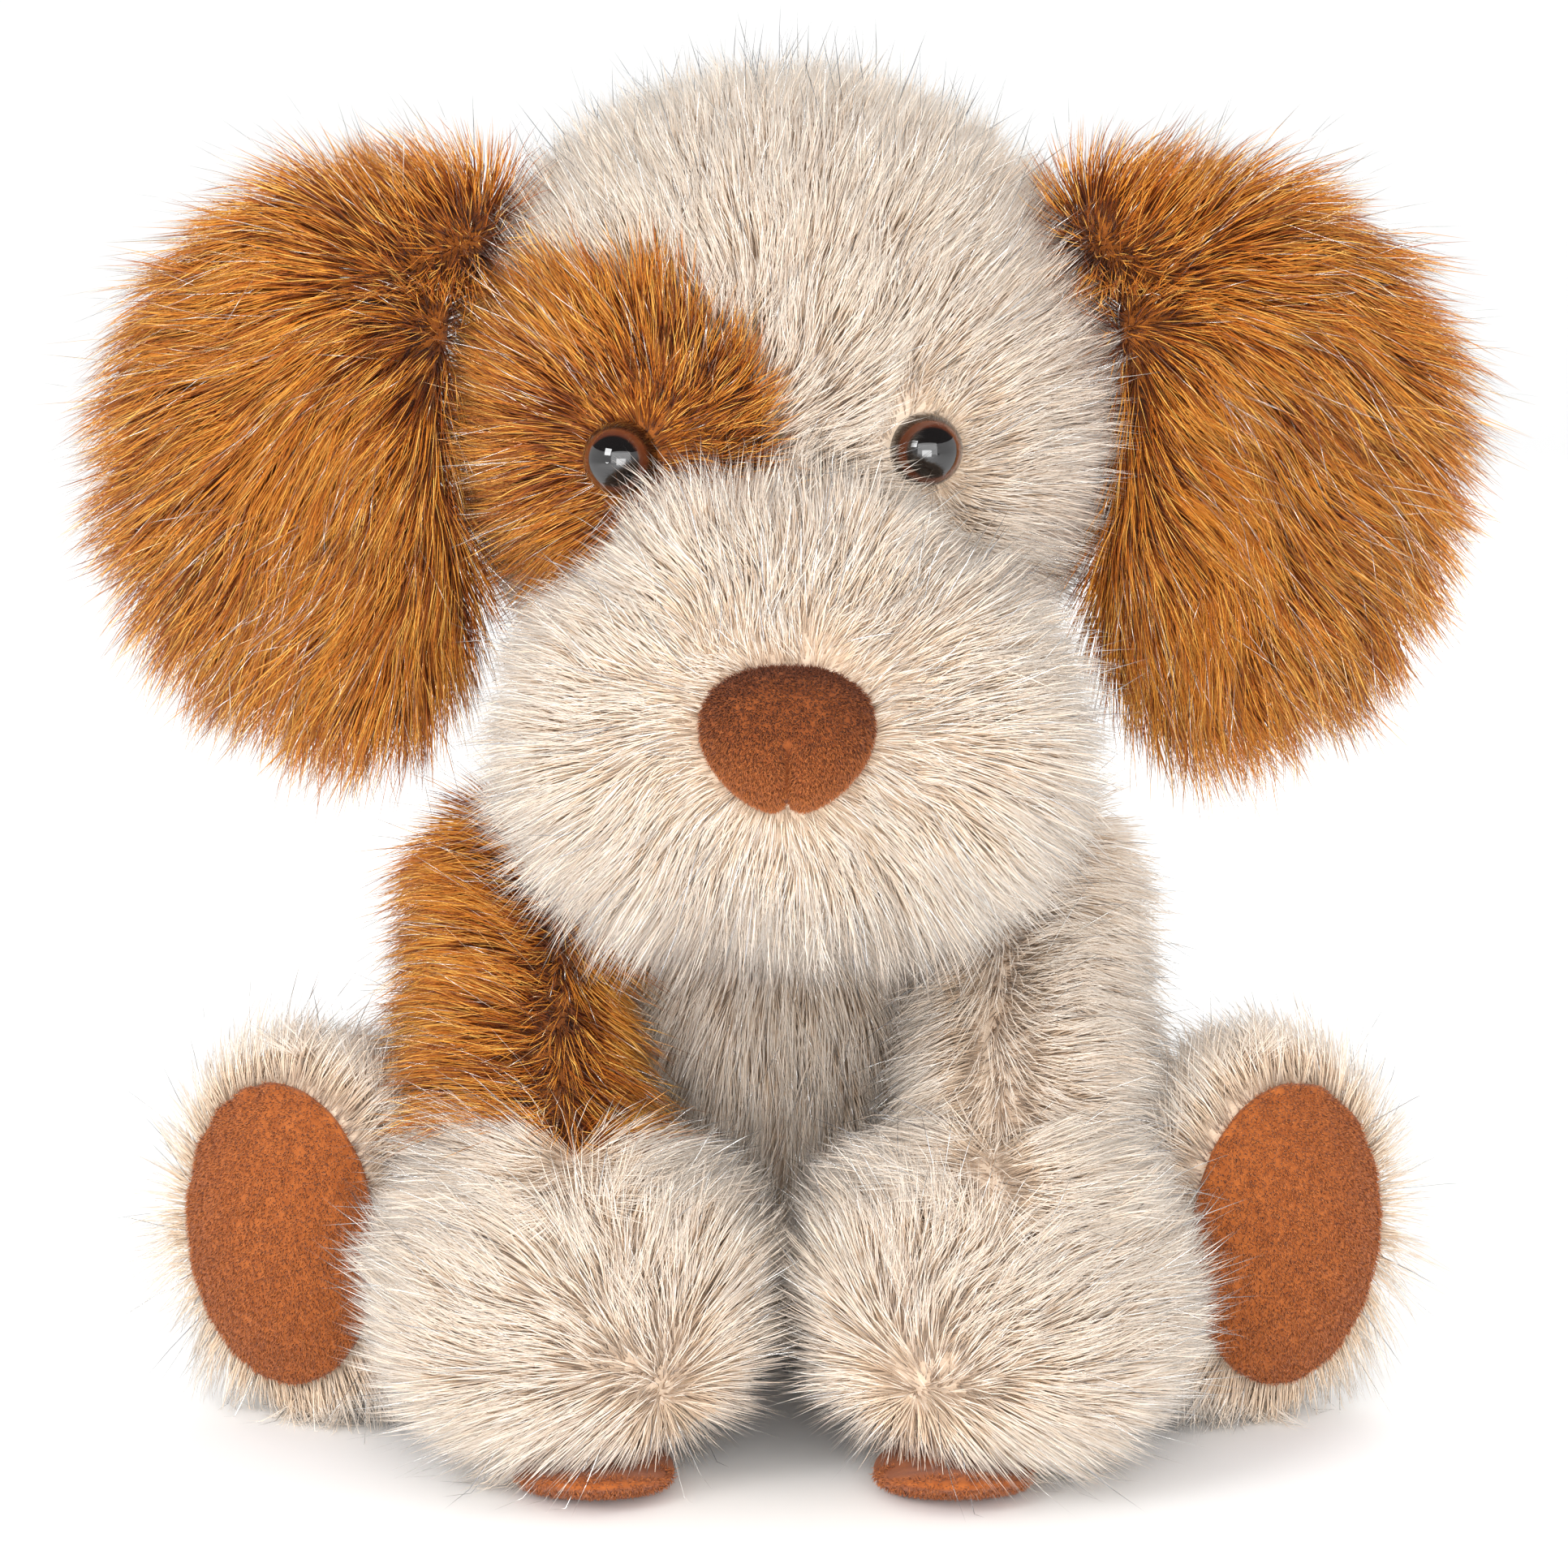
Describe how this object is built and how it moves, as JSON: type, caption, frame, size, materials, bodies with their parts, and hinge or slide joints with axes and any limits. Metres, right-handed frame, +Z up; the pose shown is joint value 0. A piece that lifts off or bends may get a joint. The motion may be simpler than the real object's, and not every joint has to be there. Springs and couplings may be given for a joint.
{
  "type": "plush dog",
  "caption": "Sitting plush dog with long pile fur, floppy ears, a padded muzzle, dome eyes and short plush soles; its head, ears, legs and tail bend.",
  "frame": {"origin": "on the seat's flat underside, straight below the neck's turning axis", "axes": "+Z up, the dog faces -Y, its own left side is +X"},
  "size_m": [0.288, 0.2478, 0.281],
  "materials": {
    "cream_fur": "long soft pile, matt, slight sheen",
    "brown_fur": "long soft pile, matt, slight sheen",
    "brown_plush": "short dense pile, matt",
    "polyester_filling": "loose white fibre",
    "eye_dome": "polished",
    "eye_back": "polished",
    "washer": "moulded"
  },
  "bodies": {
    "torso": {"seat_panel": "cream_fur", "belly_panel": "cream_fur", "back_panel_left": "cream_fur", "back_panel_right": "cream_fur", "torso_filling": "polyester_filling"},
    "neck": {"neck_filling": "polyester_filling"},
    "head": {"face_panel": "cream_fur", "eye_patch": "brown_fur", "back_of_head_panel": "cream_fur", "head_filling": "polyester_filling", "muzzle_cover": "cream_fur", "muzzle_filling": "polyester_filling", "nose_panel_left": "brown_plush", "nose_panel_right": "brown_plush", "nose_filling": "polyester_filling", "eye_left_dome": "eye_dome", "eye_left_back": "eye_back", "eye_left_washer": "washer", "eye_right_dome": "eye_dome", "eye_right_back": "eye_back", "eye_right_washer": "washer"},
    "tail": {"tail_cover": "cream_fur", "tail_filling": "polyester_filling"},
    "ear_left": {"ear_left_front_panel": "brown_fur", "ear_left_back_panel": "brown_fur"},
    "front_leg_left": {"front_leg_left_outer_panel": "cream_fur", "front_leg_left_inner_panel": "cream_fur", "front_leg_left_filling": "polyester_filling", "front_leg_left_sole": "brown_plush"},
    "hind_leg_left": {"hind_leg_left_cover": "cream_fur", "hind_leg_left_filling": "polyester_filling", "hind_leg_left_sole": "brown_plush"},
    "ear_right": {"ear_right_front_panel": "brown_fur", "ear_right_back_panel": "brown_fur"},
    "front_leg_right": {"shoulder_panel_right": "brown_fur", "front_leg_right_lower_panel": "cream_fur", "front_leg_right_filling": "polyester_filling", "front_leg_right_sole": "brown_plush"},
    "hind_leg_right": {"hind_leg_right_cover": "cream_fur", "hind_leg_right_filling": "polyester_filling", "hind_leg_right_sole": "brown_plush"}
  },
  "joints": [
    {"name": "neck_turn", "type": "hinge", "parent": "torso", "child": "neck", "pos_m": [0, 0, 0.138], "axis": [0, 0, 1], "range_deg": [-25, 25], "stiffness_Nm_per_rad": 0.08},
    {"name": "neck_nod", "type": "hinge", "parent": "neck", "child": "head", "pos_m": [0, 0, 0.138], "axis": [-1, 0, 0], "range_deg": [0, 18], "stiffness_Nm_per_rad": 0.15},
    {"name": "ear_left_lift", "type": "hinge", "parent": "head", "child": "ear_left", "pos_m": [0.067, -0.035, 0.247], "axis": [0, -1, 0], "range_deg": [0, 70]},
    {"name": "front_leg_left_raise", "type": "hinge", "parent": "torso", "child": "front_leg_left", "pos_m": [0.048, -0.03, 0.108], "axis": [-1, 0, 0], "range_deg": [0, 20], "stiffness_Nm_per_rad": 0.05},
    {"name": "hind_leg_left_splay", "type": "hinge", "parent": "torso", "child": "hind_leg_left", "pos_m": [0.048, 0.006, 0.037], "axis": [0, 0, 1], "range_deg": [0, 20], "stiffness_Nm_per_rad": 0.05},
    {"name": "ear_right_lift", "type": "hinge", "parent": "head", "child": "ear_right", "pos_m": [-0.067, -0.035, 0.247], "axis": [0, 1, 0], "range_deg": [0, 70]},
    {"name": "front_leg_right_raise", "type": "hinge", "parent": "torso", "child": "front_leg_right", "pos_m": [-0.048, -0.03, 0.108], "axis": [-1, 0, 0], "range_deg": [0, 20], "stiffness_Nm_per_rad": 0.05},
    {"name": "hind_leg_right_splay", "type": "hinge", "parent": "torso", "child": "hind_leg_right", "pos_m": [-0.048, 0.006, 0.037], "axis": [0, 0, -1], "range_deg": [0, 20], "stiffness_Nm_per_rad": 0.05},
    {"name": "tail_wag", "type": "hinge", "parent": "torso", "child": "tail", "pos_m": [0, 0.06, 0.026], "axis": [0, 0, 1], "range_deg": [-15, 15], "stiffness_Nm_per_rad": 0.01}
  ]
}
